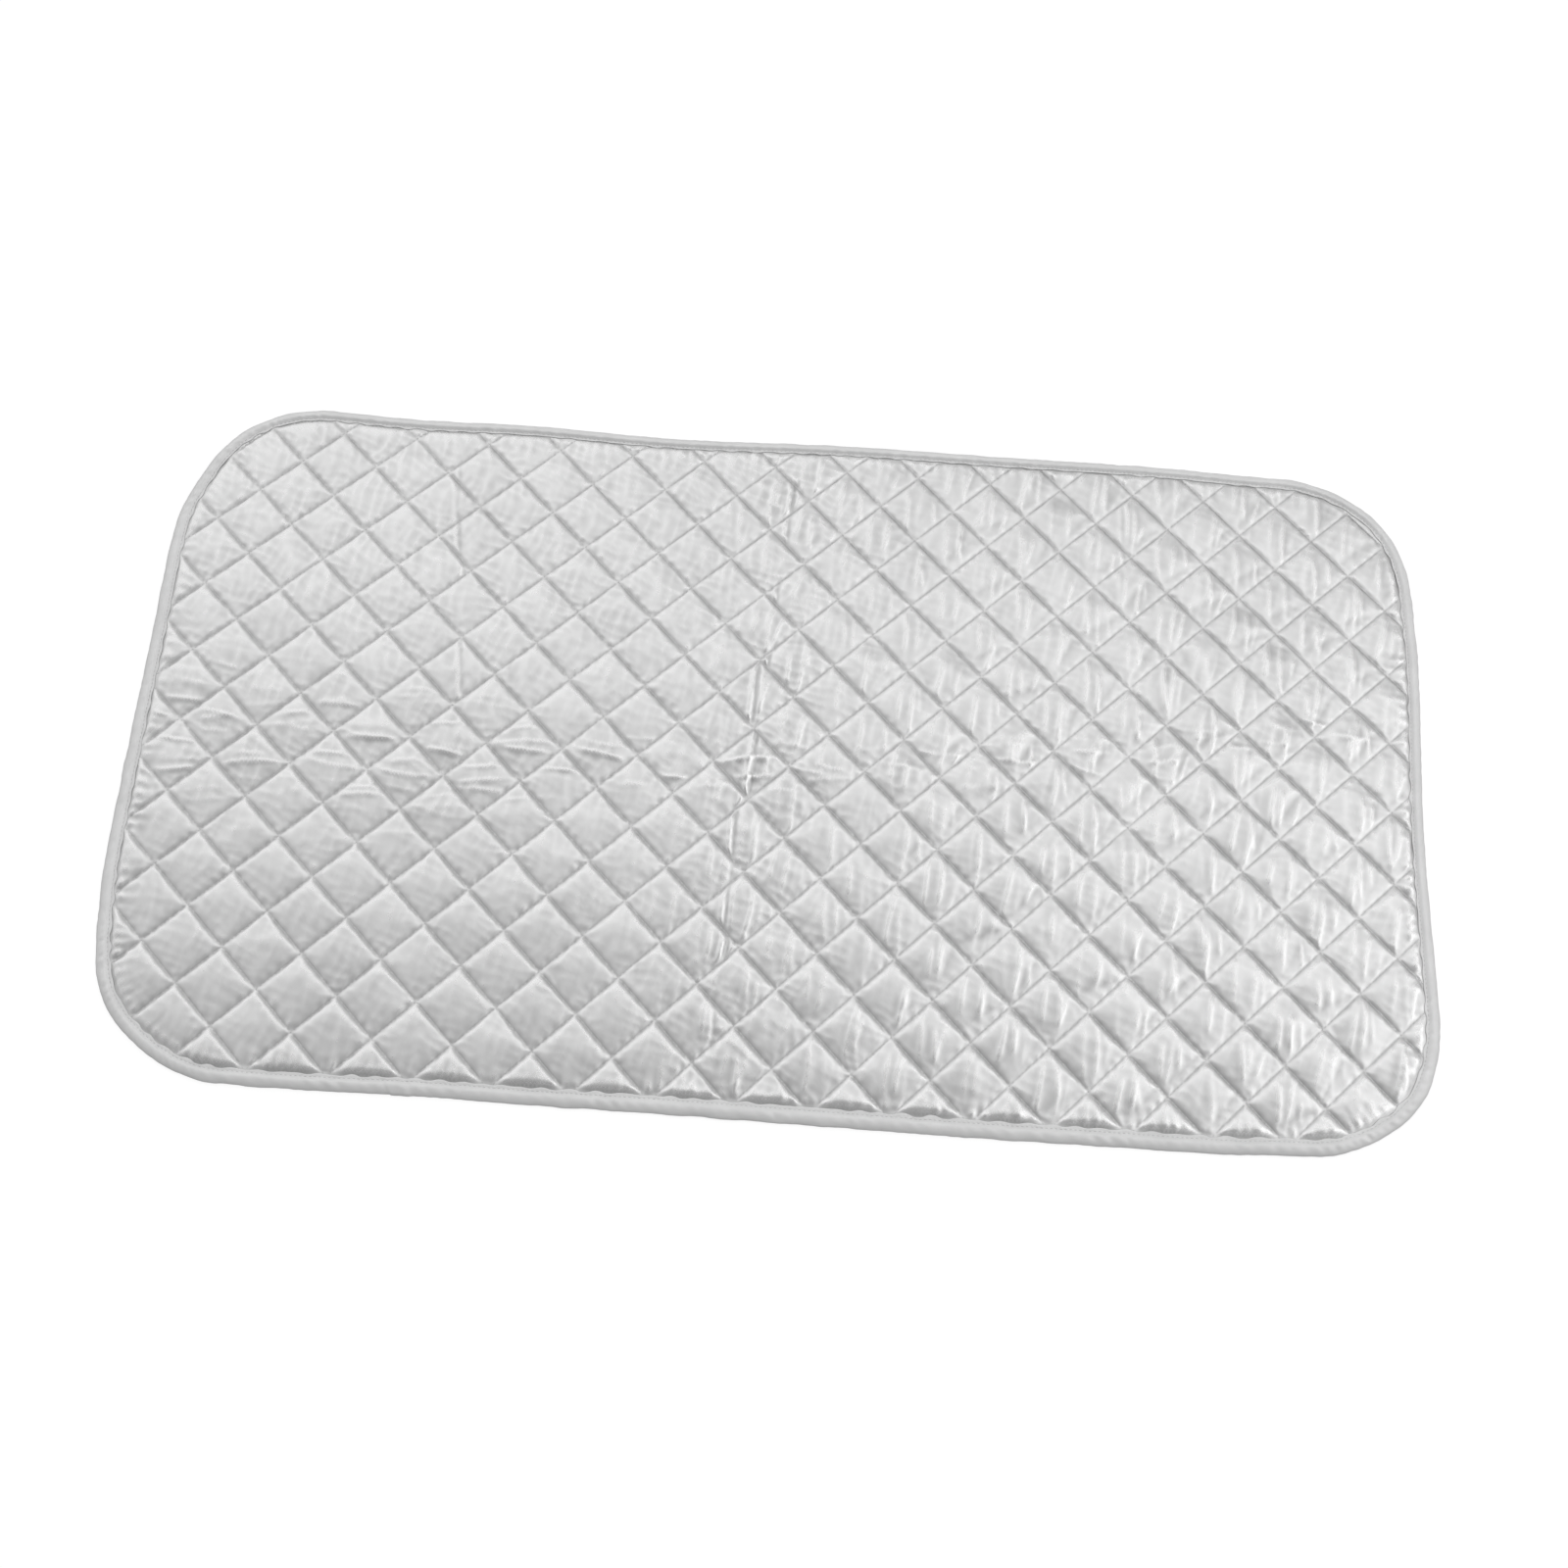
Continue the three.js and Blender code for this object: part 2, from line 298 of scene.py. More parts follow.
# %% Fields of waves
def waves(grid, wavelength, seed, lie=None, length=1.5, spread=0.35):
    """A random field on the grid, with waves that far apart in mm.

    lie is the direction, in degrees, that the ridges run along; without it they
    run every way. length is how many wavelengths long they are."""
    count, spacing = grid.count, grid.spacing
    noise = np.fft.rfft2(np.random.default_rng(seed).standard_normal((count, count)))
    ku = np.fft.fftfreq(count, spacing)[:, None]
    kv = np.fft.rfftfreq(count, spacing)[None]
    kx, ky = (ku - kv) * math.sqrt(0.5), (ku + kv) * math.sqrt(0.5)
    if lie is None:
        keep = bell((np.hypot(kx, ky) * wavelength - 1) / spread)
    else:
        angle = math.radians(lie)
        across = -kx * math.sin(angle) + ky * math.cos(angle)
        along = kx * math.cos(angle) + ky * math.sin(angle)
        keep = bell((np.abs(across) * wavelength - 1) / spread)
        keep *= bell(along * wavelength * length)
    field = np.fft.irfft2(noise * keep, s=(count, count))
    return grid.at_points(field / field.std())


def edge_waves(run, wavelength, seed, spread=0.35):
    """A random wave round the pad's edge, read at distances round it."""
    count, whole = 8192, 4 * QUARTER_ROUND
    noise = np.fft.rfft(np.random.default_rng(seed).standard_normal(count))
    k = np.fft.rfftfreq(count, whole / count)
    field = np.fft.irfft(noise * bell((k * wavelength - 1) / spread), count)
    places = np.arange(count) * whole / count
    return np.interp(run, places, field / field.std(), period=whole)


def ridged(field):
    """Turns smooth waves into soft valleys with sharper crests."""
    return 1 - np.minimum(np.abs(field), 2) ** 0.8


trial = waves(fine, 11, 1)
print("a trial field: %.2f to %.2f" % (trial.min(), trial.max()))

# %% [markdown]
# ## Loft
# Between the seams the wadding pushes the cloth up into low pillows, and at the
# edge the tape holds it down. Real padded cloth is a little bigger than the space
# between its seams, and that spare cloth is what wrinkles. So Blender's Cloth
# inflates a sheet that is pinned along the seams and cut a little too big. It does
# so at fifty times life size, where it settles better.

# %% How high the face may rise
# The face lies this high at its seams, and a blown cell this much higher
SEAM_HEIGHT, FACE_CROWN = 3.6, 3.2
# The tape reaches this far in, the face lies this high under it, and the cloths
# end this far inside the edge
TAPE_REACH, UNDER_TAPE, CLOTH_RIM = 9.0, 3.5, 2.5


def held_by_tape(inset, reach):
    """Rises from 0 under the tape to 1 a short way inside it."""
    return 1 - (1 - np.clip((inset - TAPE_REACH) / reach, 0, 1)) ** 2.2


def pillow(grid, roundness=2.7):
    """Rises from 0 on a seam to 1 over the middle of a cell."""
    across_a = 1 - np.abs(1 - 2 * grid.to_falling / FALLING["step"]) ** roundness
    across_b = 1 - np.abs(1 - 2 * grid.to_rising / RISING["step"]) ** roundness
    return across_a * across_b


def kept_quads(kept):
    """The squares of a grid of which all four points are kept, by point number."""
    number = np.arange(kept.size).reshape(kept.shape)
    corners = [number[:-1, :-1], number[1:, :-1], number[1:, 1:], number[:-1, 1:]]
    quads = np.stack(corners, -1).reshape(-1, 4)
    return quads[kept.ravel()[quads].all(1)]


print("pillows: 0 to %.2f" % pillow(fine).max())

# %% Pin a sheet along its seams and blow it up
# The blown sheet: its size against life size, its frames to settle, and how much
# too big it is cut along the pad and across it
GROWN, SETTLED_BY, SPARE_CLOTH = 50, 20, (1.06, 1.02)


def inflated(grid):
    """The height of a face cloth that is pinned at its seams and blown up."""
    rest = np.stack([grid.x, grid.y, np.full_like(grid.x, SEAM_HEIGHT)], -1) * MM * GROWN
    start = rest.copy()
    start[..., 2] += MM * GROWN * (2.2 * pillow(grid, 4) + 0.15 * waves(grid, 12, 51))
    kept = grid.inset > CLOTH_RIM
    quads = (np.cumsum(kept) - 1)[kept_quads(kept)]
    pinned = (grid.to_seam < 0.01) | (grid.tucked < TAPE_REACH + 0.5)
    start[pinned] = rest[pinned]

    mesh = bpy.data.meshes.new("inflating")
    mesh.from_pydata(start[kept].tolist(), [], quads.tolist())
    sheet = in_scene("inflating", mesh)
    pins = sheet.vertex_groups.new(name="seams")
    pins.add(np.flatnonzero(pinned[kept]).tolist(), 1.0, "REPLACE")
    sheet.shape_key_add(name="Basis")
    cut = sheet.shape_key_add(name="cut")
    bigger = rest[kept] * (*SPARE_CLOTH, 1)
    cut.data.foreach_set("co", bigger.ravel().astype(np.float32))

    cloth = sheet.modifiers.new("Cloth", "CLOTH")
    stuff = cloth.settings
    stuff.quality, stuff.mass, stuff.air_damping = 6, 0.1, 1
    stuff.tension_stiffness = stuff.compression_stiffness = 40
    stuff.shear_stiffness = 20
    stuff.bending_model, stuff.bending_stiffness = "LINEAR", 5
    stuff.vertex_group_mass, stuff.rest_shape_key = "seams", cut
    stuff.use_pressure, stuff.uniform_pressure_force = True, 1
    stuff.effector_weights.gravity = 0
    cloth.collision_settings.use_collision = False
    for step in range(1, SETTLED_BY + 1):
        bpy.context.scene.frame_set(step)
    blown = sheet.evaluated_get(bpy.context.evaluated_depsgraph_get()).data
    places = np.empty(len(blown.vertices) * 3, np.float32)
    blown.vertices.foreach_get("co", places)
    height = np.full(grid.x.shape, SEAM_HEIGHT)
    height[kept] = places.reshape(-1, 3)[:, 2] / (MM * GROWN)
    bpy.context.scene.frame_set(1)
    bpy.data.objects.remove(sheet)
    return height


print("the sheet is blown up at %d times life size" % GROWN)

# %% Read it on the fine grid
def between(coarse, height, grid):
    """Heights of a coarse grid, read on a finer one, cell by cell."""
    n = coarse.per_cell
    weights = np.zeros((grid.count, coarse.count))
    for k in range(grid.count):
        at = grid.steps[k] * n
        cell = min(k // grid.per_cell, CELLS - 1)
        low = min(int(at), cell * n + n - 1)
        t = at - low
        shares = (
            (-t + 2 * t**2 - t**3) / 2, (2 - 5 * t**2 + 3 * t**3) / 2,
            (t + 4 * t**2 - 3 * t**3) / 2, (t**3 - t**2) / 2,
        )
        for index, share in zip(range(low - 1, low + 3), shares):
            inwards = int(index < cell * n) - int(index > cell * n + n)
            if inwards:
                weights[k, index + inwards] += 2 * share
                weights[k, index + 2 * inwards] -= share
            else:
                weights[k, index] += share
    return weights @ height @ weights.T


blowing = QuiltGrid(10)
loft = between(blowing, inflated(blowing), fine) - SEAM_HEIGHT
middling = np.median(loft[fine.inset > 20])
print("loft up to %.2f mm, middling %.2f" % (loft.max(), middling))

# %% [markdown]
# ## Wrinkles
# The photograph shows several kinds. Pressed in its packing, each cell is low and
# leans to the far side, and breaks into facets. On the right half, one to three
# straight folds run up each cell. At the left, short wrinkles lie level where the
# pad was folded over along its middle, and lines run up it where it was folded
# across. The stitches draw the cloth into small puckers along every seam, and the
# tape does the same along the edge.

# %% The kinds of wrinkle and their numbers
# A pressed cell: its crown, how soon the blown form goes flat, the cell's width
# and that of its steep far sides
FLAT_CROWN, FLATTENING, CELL_SIDE, STEEP_SIDE = 1.9, 1.2, 35.0, 2.8
# Facets: seed, the way they fall in degrees, slope, distance from the cell's middle
FACETS = [
    (71, (-70, -15), (0.12, 0.26), (0, 7)),
    (72, (150, 300), (0.03, 0.14), (1, 11)),
    (73, (-30, 130), (0.03, 0.12), (2, 12)),
]
FACET_BLEND, FACET_LOWEST = 0.14, 0.35
# Folds: height, then seed, place and its looseness, lie and its looseness in
# degrees, width and reach
UPRIGHT_FOLDS = [
    (1.4, 81, 4, 3, 84, 6, 1.9, 16),
    (1.2, 82, -4, 3, 83, 8, 2.0, 15),
    (0.9, 83, 9, 4, 82, 12, 1.5, 11),
]
LEVEL_FOLDS = [
    (1.1, 84, -7, 4, 178, 12, 1.2, 15),
    (1.0, 85, 1, 4, 180, 12, 1.2, 16),
    (0.9, 86, 8, 3, 182, 12, 1.1, 12),
]
# Lines across the pad: height, then seed, place, slant, and where they end
MIDDLE_LINE, MIDDLE_SLANT = -19, 0.068
STORAGE_LINES = [
    (1.5, 87, MIDDLE_LINE, MIDDLE_SLANT, -200, 215),
    (0.6, 88, -212, -0.11, 20, 225),
    (0.4, 89, 224, 0.0, 120, 230),
]


print(len(UPRIGHT_FOLDS), "upright folds and", len(LEVEL_FOLDS), "level ones to a cell")

# %% One fold, one line, one facet
def fold(grid, seed, middle, loose, lie, lean, width, reach):
    """One soft ridge in each cell, steeper on one side, from 0 to 1 high."""
    rng = np.random.default_rng(seed)

    def pick(low, high):
        return rng.uniform(low, high, (CELLS, CELLS))[grid.cell]

    angle = np.radians(lie + pick(-lean, lean))
    dx, dy = grid.from_middle_x, grid.from_middle_y - pick(-6, 6)
    across = dx * np.sin(angle) - dy * np.cos(angle)
    along = dx * np.cos(angle) + dy * np.sin(angle)
    across = across - middle - pick(-loose, loose) - pick(-0.006, 0.006) * along**2
    width = width * pick(0.7, 1.3) * np.where(across > 0, 0.75, 1.25)
    ridge = np.exp(-(np.abs(across / width) ** 1.5))
    return ridge * np.exp(-((along / (reach * pick(0.6, 1.2))) ** 4)) * pick(0.15, 1)


def storage_line(grid, seed, at, slant, low, high):
    """A line across the pad where it was folded: a ridge beside a valley."""
    rng = np.random.default_rng(seed)
    wander = rng.uniform(-4, 4, (CELLS, CELLS))[grid.cell]
    strength = np.clip(rng.uniform(-0.3, 1.3, (CELLS, CELLS)), 0, 1)[grid.cell]
    across = grid.x - at - slant * grid.y - wander - 0.4 * waves(grid, 40, seed)
    within = eased((grid.y - low) / 15) * eased((high - grid.y) / 15)
    return (bell((across + 2.6) / 2.0) - 0.9 * bell(across / 1.6)) * within * strength


def summed(grid, form, kinds):
    """Several kinds of one form, each times its height."""
    return sum(height * form(grid, *rest) for height, *rest in kinds)


def pressed(grid, loft, crown):
    """A blown loft pressed flat, rising gently to its steep far sides."""
    def arch(part):
        gentle = 1 - np.clip(1 - part / 0.85, 0, 1) ** 2
        return gentle * np.tanh((1 - part) * CELL_SIDE / STEEP_SIDE)

    blown = np.tanh(FLATTENING * loft / crown)
    leaning = arch(grid.falling % 1) * arch(grid.rising % 1)
    return crown * (0.4 * blown + 0.75 * leaning)


def facet(grid, crown, seed, way, slope, start):
    """The plane that one facet of each cell lies in."""
    turned = np.radians(grid.by_cell(seed, *way))
    down = grid.from_middle_x * np.cos(turned) + grid.from_middle_y * np.sin(turned)
    down = down - grid.by_cell(seed + 40, *start)
    return np.maximum(crown - grid.by_cell(seed + 20, *slope) * down, FACET_LOWEST)


trial = fold(fine, *UPRIGHT_FOLDS[0][1:])
print("the first fold: up to %.2f" % trial.max())

# %% Wrinkle the face
def face_height(grid, loft):
    """The face cloth's height, in mm."""
    free = eased((grid.tucked - TAPE_REACH) / 3.4)
    clear = eased(grid.to_seam / 3.0) * free
    rightness = eased((grid.x + 120) / 300)
    lower_behind = 1 - 0.2 * eased((grid.y + 60) / 240)
    crown = FLAT_CROWN * grid.by_cell(11, 0.9, 1.12) * lower_behind
    loft = pressed(grid, loft, crown) * free

    # The first facets fall off to the lower right, and are cut deeper at the right
    planes = [facet(grid, crown, *kind) for kind in FACETS]
    planes[0] = planes[0] + 2.5 * (1 - rightness)
    for plane in planes:
        over = np.clip((loft - plane) / FACET_BLEND, -30, 30)
        loft = loft - FACET_BLEND * np.log1p(np.exp(over))

    # Folds up and down the right half and by the middle line
    to_middle_line = grid.x + 9 - MIDDLE_SLANT * grid.y
    by_middle = bell(to_middle_line / 42)
    upright = np.maximum(0.15 + 0.85 * rightness, by_middle)
    loft = loft + upright * clear * summed(grid, fold, UPRIGHT_FOLDS)

    # Level wrinkles in a band that bends and widens to the left
    off_line = grid.y + 14 - 0.0002 * (grid.x + 190) ** 2
    near_line = bell(off_line / (16 + 26 * eased((-grid.x - 120) / 120)))
    level = (1.5 - 0.7 * rightness) * near_line
    loft = loft + level * clear * summed(grid, fold, LEVEL_FOLDS)
    loft = loft + clear * summed(grid, storage_line, STORAGE_LINES)

    # A crumple as of foil: faint all over, stronger far left and by the folds
    far_left = (1 - rightness) * eased(grid.y / 150)
    worn = 0.7 + 0.5 * far_left + 0.7 * by_middle + 0.4 * near_line
    crumple = ridged(waves(grid, 17, 23, lie=72, spread=0.8))
    crumple += ridged(waves(grid, 14, 24, lie=-20, spread=0.8))
    loft = loft + 0.14 * worn * clear * crumple

    # Puckers across the seams and in from the tape
    for away, seed, lie in ((grid.to_falling, 25, 55), (grid.to_rising, 26, -55)):
        beside_seam = bell(away / 4.5) * eased(away / 1.5)
        ripple = waves(grid, 8, seed, lie=lie, length=0.9)
        loft = loft + 0.08 * free * beside_seam * ripple
    beside_tape = np.exp(-np.clip(grid.tucked - TAPE_REACH, 0, None) / 6.0) * free
    loft = loft + 0.27 * beside_tape * edge_waves(grid.run, 8, 27)

    # The groove that the stitches pull down
    pull = 0.22 + 0.1 * waves(grid, 6, 28)
    loft = loft - pull * bell(grid.to_seam / 1.1) * free
    height = np.where(grid.tucked < TAPE_REACH, UNDER_TAPE, SEAM_HEIGHT + loft)
    return np.maximum(height, UNDER_TAPE - 0.2)


top = face_height(fine, loft)
print("the face is %.2f to %.2f mm high" % (top.min(), top.max()))

# %% [markdown]
# ## A layer as a closed form
# A layer has a side that is seen, with many points, and one that is hidden, with
# as many or fewer. Both end under the tape, in the small steps that pinking shears
# leave, and a narrow sloping wall joins them. A hidden side of fewer points is
# filled by triangulation.

# %% Small helpers for layers
# The wall leans in by this much, and the hidden points keep this far from it
WALL_LEAN, WALL_GAP = 0.5, 1.5


def lowest_near(height, reach):
    """The lowest value within some grid steps of each point."""
    for _ in (0, 1):
        wide = np.pad(height, ((reach, reach), (0, 0)), "edge")
        rows = [wide[shift:shift + len(height)] for shift in range(2 * reach + 1)]
        height = np.min(rows, axis=0).T
    return height


def further_in(x, y, step):
    """Points moved straight in from the nearest edge."""
    slope_x = (distance_in(x + 0.05, y) - distance_in(x - 0.05, y)) / 0.1
    slope_y = (distance_in(x, y + 0.05) - distance_in(x, y - 0.05)) / 0.1
    return x + step * slope_x, y + step * slope_y


def new_piece(name, points, polygons, uv=None):
    """A smooth mesh object, riding on the pad, from points in mm."""
    mesh = bpy.data.meshes.new(name)
    mesh.from_pydata((np.asarray(points) * MM).tolist(), [], polygons)
    mesh.shade_smooth()
    mesh.update()
    piece = in_scene(name, mesh)
    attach(piece, "root")
    if uv:
        corners = np.empty(len(mesh.loops), np.int32)
        mesh.loops.foreach_get("vertex_index", corners)
        layer = mesh.uv_layers.new(name="OFBake")
        layer.data.foreach_set("uv", uv(corners).ravel().astype(np.float32))
    return piece


print("moved in from the right side:", round(float(further_in(425.0, 0.0, 1)[0]), 2))

# %% Build one layer
def closed_layer(
    name, grid, kept, seen, hidden_grid, hidden, hidden_rim, face_up=True
):
    """A closed layer of the kept points, seen on one side and hidden on the other."""
    quads, whole = kept_quads(kept), kept.size
    starts, ends = quads.ravel(), np.roll(quads, -1, axis=1).ravel()
    outermost = ~np.isin(starts * whole + ends, ends * whole + starts)
    following = dict(zip(starts[outermost].tolist(), ends[outermost].tolist()))
    ring, after = [], []
    while following:
        first = len(ring)
        point = next(iter(following))
        while point in following:
            ring.append(point)
            after.append(len(ring))
            point = following.pop(point)
        after[-1] = first

    used = np.unique(quads)
    renumber = np.full(whole, -1)
    renumber[used] = np.arange(len(used))
    outer = np.stack([grid.x.ravel(), grid.y.ravel(), seen.ravel()], 1)[used]
    quads, ring = renumber[quads], renumber[ring]
    here, after = np.arange(len(ring)), np.array(after)

    if hidden_grid is grid:
        below = np.column_stack([outer[:, :2], hidden.ravel()[used]])
        below_ring = ring
        below_faces = quads[:, ::-1] + len(outer)
    else:
        deepest = distance_in(outer[ring, 0], outer[ring, 1]).max()
        inside = hidden_grid.inset > deepest + WALL_GAP
        inner = [hidden_grid.x[inside], hidden_grid.y[inside], hidden[inside]]
        below = np.vstack([outer[ring], np.stack(inner, 1)])
        below_ring = here
        flat = [Vector(point) for point in below[:, :2]]
        rim = list(zip(here.tolist(), after.tolist()))
        _, _, triangles, origins, *_ = delaunay_2d_cdt(flat, rim, [], 1, 1e-4)
        origin = np.array([o[0] for o in origins])
        below_faces = origin[np.array(triangles)][:, ::-1] + len(outer)
    x, y = below[below_ring, 0], below[below_ring, 1]
    below[below_ring, 0], below[below_ring, 1] = further_in(x, y, WALL_LEAN)
    below[below_ring, 2] = hidden_rim
    low = below_ring + len(outer)
    wall = np.stack([ring[after], ring[here], low[here], low[after]], 1)

    def flat_map(corners):
        plan = np.vstack([outer, below])[corners][:, :2]
        is_seen = np.arange(len(corners)) < quads.size
        u = 0.01 + 0.98 * (plan[:, 0] / PAD_LENGTH + 0.5)
        v = 0.005 + 0.49 * (plan[:, 1] / PAD_WIDTH + 0.5) + np.where(is_seen, 0, 0.5)
        return np.stack([u, v], 1)

    polygons = quads.tolist() + wall.tolist() + below_faces.tolist()
    if not face_up:
        polygons = [polygon[::-1] for polygon in polygons]
    piece = new_piece(name, np.vstack([outer, below]), polygons, flat_map)
    return piece, used


def mark(piece, name, used, values):
    """Stores one number for each seen point, for the material to read."""
    attribute = piece.data.attributes.new(name, "FLOAT", "POINT")
    numbers = np.zeros(len(piece.data.vertices), np.float32)
    numbers[: len(used)] = values.ravel()[used]
    attribute.data.foreach_set("value", numbers)


print("a layer's wall leans in by %.1f mm" % WALL_LEAN)

# %% Make the face cloth
HIDDEN_STEPS, FACE_THICK, RIM_THICK = 14, 0.35, 0.4
EVERY = FINE_STEPS // HIDDEN_STEPS
hidden_grid = QuiltGrid(HIDDEN_STEPS, CROWDED)
lining = lowest_near(top, EVERY)[::EVERY, ::EVERY] - FACE_THICK
face_cloth, face_used = closed_layer(
    "face_cloth", fine, fine.inset > CLOTH_RIM, top, hidden_grid, lining,
    UNDER_TAPE - RIM_THICK,
)
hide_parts("face_cover")

# The finish is told where the creases are: it paints them darker as painted shade and
# makes them duller, and makes the crests a little lighter and shinier
soft = top.copy()
for _ in range(3):
    moved = [np.roll(soft, shift, axis) for shift in (2, -2) for axis in (0, 1)]
    soft = (soft + sum(moved)) / 5
# Painted shade: the crease value darkens the face's colour in its creases
mark(face_cloth, "crease_shade", face_used, np.clip((soft - top) / 0.5, -1, 1))
print("face cloth:", len(face_cloth.data.polygons), "faces")

# %% [markdown]
# ## The back cloth and the wadding
# The back is quilted by the same seams, but its pillows are low and pressed flat
# by the table. Four of its cells hold a magnet, and there it lies flat. The
# wadding fills what is left between the two cloths, and has a round hole punched
# out for each magnet.

# %% Build the back
MAGNETS = {
    "magnet_front_left": (-340.48, -176.24), "magnet_front_right": (352.48, -176.24),
    "magnet_rear_left": (-340.48, 170.24), "magnet_rear_right": (352.48, 170.24),
}
MAGNET_POCKET = 10.5
BACK_SEAM, BACK_LOWEST, CLOTH = 1.3, 0.3, 0.38


def near_magnet(grid, radius, blend):
    """1 within a radius of a magnet, falling to 0 beyond it."""
    share = np.zeros_like(grid.x)
    for x, y in MAGNETS.values():
        away = np.hypot(grid.x - x, grid.y - y) - radius
        share = np.maximum(share, 1 - eased(away / blend))
    return share


def back_height(grid):
    """The back cloth's height over the table, in mm."""
    free = held_by_tape(grid.tucked, 10.0)
    puff = pillow(grid, 3) * grid.by_cell(12, 0.8, 1.0)
    height = BACK_SEAM - (BACK_SEAM - BACK_LOWEST) * puff * free
    height += 0.1 * free * eased(grid.to_seam / 3) * ridged(waves(grid, 14, 41))
    height = np.clip(height, 0.05, BACK_SEAM)
    return height * (1 - near_magnet(grid, MAGNET_POCKET, 5.5))


back_grid = QuiltGrid(12, even=0.6)
under = back_height(back_grid)
back_cloth, back_used = closed_layer(
    "back_cloth", back_grid, back_grid.inset > CLOTH_RIM, under, back_grid,
    under + CLOTH, BACK_SEAM + CLOTH, face_up=False,
)
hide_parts("back_cover")
# Painted shade: the back is darker and duller where it stands up by its seams
mark(back_cloth, "crease_shade", back_used, np.clip((under - BACK_LOWEST) / 1.0, 0, 1))

print("back cloth:", len(back_cloth.data.polygons), "faces")

# %% Build the wadding
# Where the wadding's rim lies, in from the edge and up, and how far the wadding
# keeps from the back cloth and from the face
WADDING_RIM, RIM_LOW, OVER_BACK, UNDER_FACE = 3.4, 2.2, 0.4, 0.15
puff = pillow(hidden_grid, 3) * held_by_tape(hidden_grid.tucked, 10.0)
wadding_low = BACK_SEAM + CLOTH + OVER_BACK - 0.75 * (BACK_SEAM - BACK_LOWEST) * puff
wadding_high = lowest_near(lining, 1) - UNDER_FACE
punched = near_magnet(hidden_grid, MAGNET_POCKET, 0.01) > 0.5
whole = (hidden_grid.inset > WADDING_RIM) & ~punched
wadding, _ = closed_layer(
    "wadding_sheet", hidden_grid, whole, wadding_high, hidden_grid,
    wadding_low, RIM_LOW,
)
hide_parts("wadding")
print("wadding at least %.2f mm thick" % (wadding_high - wadding_low)[whole].min())

# %% [markdown]
# ## The binding
# The edge is bound with a folded tape, sewn on by one seam near its inner edge.
# Between the seam and the fold it is plump. It is cut on the slant, so that it
# bends round the corners, and it ripples a little as it goes. One profile of the
# folded tape is carried round the outline, with its ripples, its needle dents and
# the place where the tape's two ends overlap.

# %% The folded tape's profile
# From the face's side round the fold to the back's, and then inside: distance in
# from the edge and height
TAPE_PROFILE = [
    (9.0, 3.86), (8.85, 4.02), (8.4, 4.10), (7.9, 4.04), (7.4, 3.96), (6.95, 4.24),
    (6.4, 4.80), (5.8, 5.32), (5.1, 5.50), (4.2, 5.44), (3.2, 5.14), (2.3, 4.68),
    (1.4, 4.10), (0.75, 3.52), (0.3, 2.92), (0.05, 2.30), (0.08, 1.60), (0.35, 0.95),
    (0.85, 0.45), (1.6, 0.12), (2.6, 0.0), (4.2, 0.0), (5.8, 0.02), (6.8, 0.1),
    (7.4, 0.24), (8.0, 0.14), (8.7, 0.14), (9.0, 0.55), (8.6, 1.0), (5.5, 1.0),
    (2.7, 1.0), (2.25, 1.5), (2.2, 2.4), (2.25, 3.2), (2.7, 3.62), (5.5, 3.62),
    (8.6, 3.62),
]
STITCH, STATIONS_PER_STITCH, TAPE_SEAM = 3.0, 3, 7.4
OVERLAP_AT, OVERLAP_LENGTH = 3 * QUARTER_ROUND - 224.0, 15.0
tape_stations = STATIONS_PER_STITCH * round(4 * QUARTER_ROUND / STITCH)
runs = np.arange(tape_stations) * 4 * QUARTER_ROUND / tape_stations
edge_x, edge_y, out_x, out_y = edge_at(runs)
profile = np.array(TAPE_PROFILE)
around = len(profile)
# The points of the profile that lie on top, that show, and that bend at the fold
spokes = np.arange(around)
on_top, shows, at_fold = spokes < 15, spokes < 28, (spokes > 11) & (spokes < 20)


print("%d points round the tape, at %d places" % (around, tape_stations))

# %% Wrap the tape round the edge
def tape_surface():
    """The tape's profile at each distance round: inset and height, in mm."""
    inset, height = (np.tile(profile[:, k], (tape_stations, 1)) for k in (0, 1))
    beyond = np.minimum(np.abs(edge_x) - CORE_X, np.abs(edge_y) - CORE_Y)
    at_corner = eased((beyond + 10) / 30)[:, None]
    drag = edge_waves(runs[:, None] + 0.9 * inset, 11, 61)
    tight = edge_waves(runs[:, None] + 0.5 * inset, 6.5, 62)
    plump = bell((inset - 4.6) / 2.6) * on_top
    height += plump * (0.13 * drag + (0.04 + 0.12 * at_corner) * tight)
    lip = bell((inset - 9.0) / 1.2) * on_top
    inset += lip * 0.35 * edge_waves(runs, 16, 63)[:, None]
    outermost = bell(inset / 1.8) * shows
    in_and_out = 0.13 * edge_waves(runs, 30, 64) + 0.05 * edge_waves(runs, 9, 65)
    inset -= outermost * in_and_out[:, None]
    needle = np.cos(2 * math.pi * np.arange(tape_stations) / STATIONS_PER_STITCH)
    seam = bell((inset - TAPE_SEAM) / 0.8) * on_top
    height -= seam * (0.12 + 0.12 * needle[:, None])
    stretch = 1 + summed_bumps(runs, TAPE_WIDTHS)[:, None]
    inset = np.where(inset > FOLD_AT, FOLD_AT + (inset - FOLD_AT) * stretch, inset)

    # The tape's second end lies over its first
    into = runs[:, None] + 0.6 * inset - OVERLAP_AT
    doubled = eased(into / 1.5) * eased((OVERLAP_LENGTH - into) / 4)
    height += 0.45 * doubled * (spokes < 14)
    return inset - 0.5 * doubled * at_fold, np.maximum(height, 0)


tape_inset, tape_height = tape_surface()
tape_points = np.stack([
    edge_x[:, None] - tape_inset * out_x[:, None],
    edge_y[:, None] - tape_inset * out_y[:, None], tape_height,
], -1)
number = np.arange(tape_stations * around).reshape(tape_stations, around)
onward = np.roll(number, -1, 1)
tape_faces = np.stack([
    number, onward, np.roll(onward, -1, 0), np.roll(number, -1, 0),
], -1).reshape(-1, 4)

